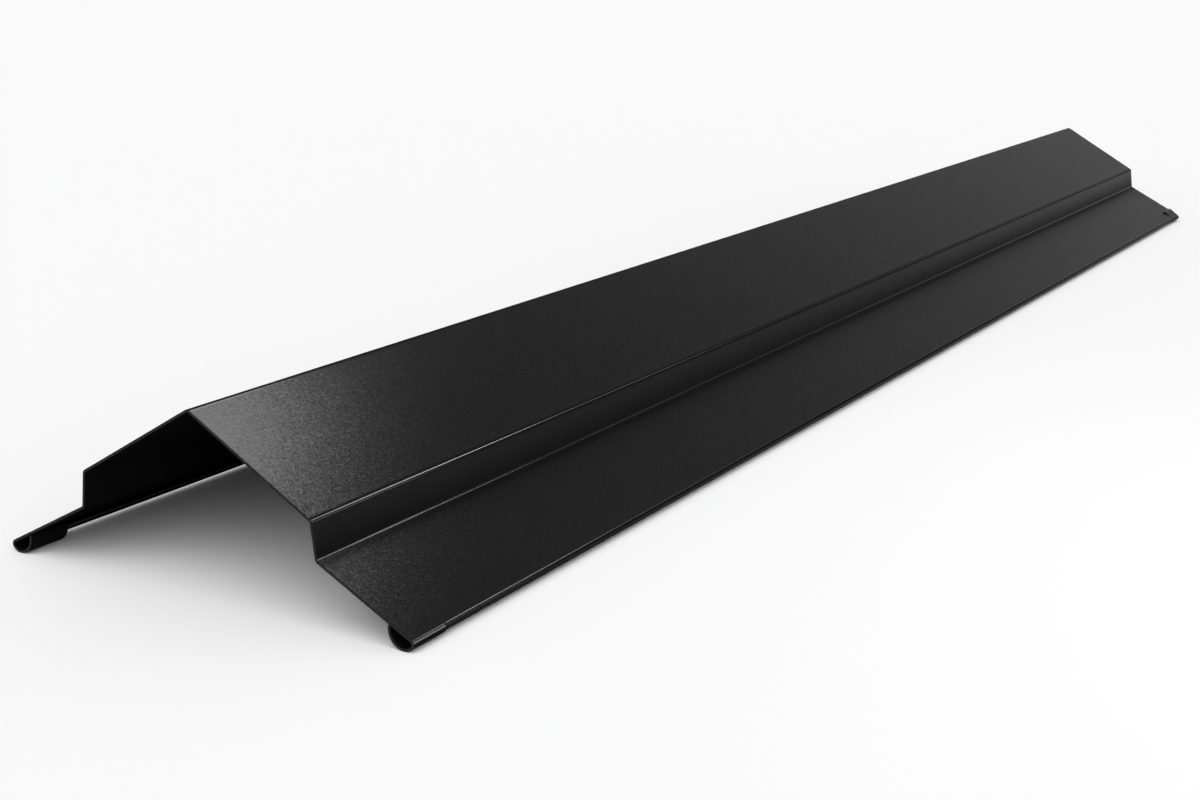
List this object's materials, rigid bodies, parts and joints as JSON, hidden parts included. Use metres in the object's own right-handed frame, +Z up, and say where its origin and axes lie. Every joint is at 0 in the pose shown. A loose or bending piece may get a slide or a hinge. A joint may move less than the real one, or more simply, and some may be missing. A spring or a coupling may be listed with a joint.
{
  "type": "roof ridge cap",
  "caption": "Long folded sheet-metal cap for a roof ridge: two sloping wings, short risers and outer flanges with folded edges that open into teardrop sockets at the ends.",
  "frame": {"origin": "middle of the footprint, on the level floor that the cap stands on", "axes": "+X along the ridge, towards the end whose folded edges stand proud of the flanges; +Y across the cap; +Z up"},
  "size_m": [2, 0.3696, 0.1351],
  "materials": {
    "coated_sheet": "satin powder coat with a fine grain"
  },
  "bodies": {
    "root": {"ridge_cap_sheet": "coated_sheet"}
  },
  "joints": []
}
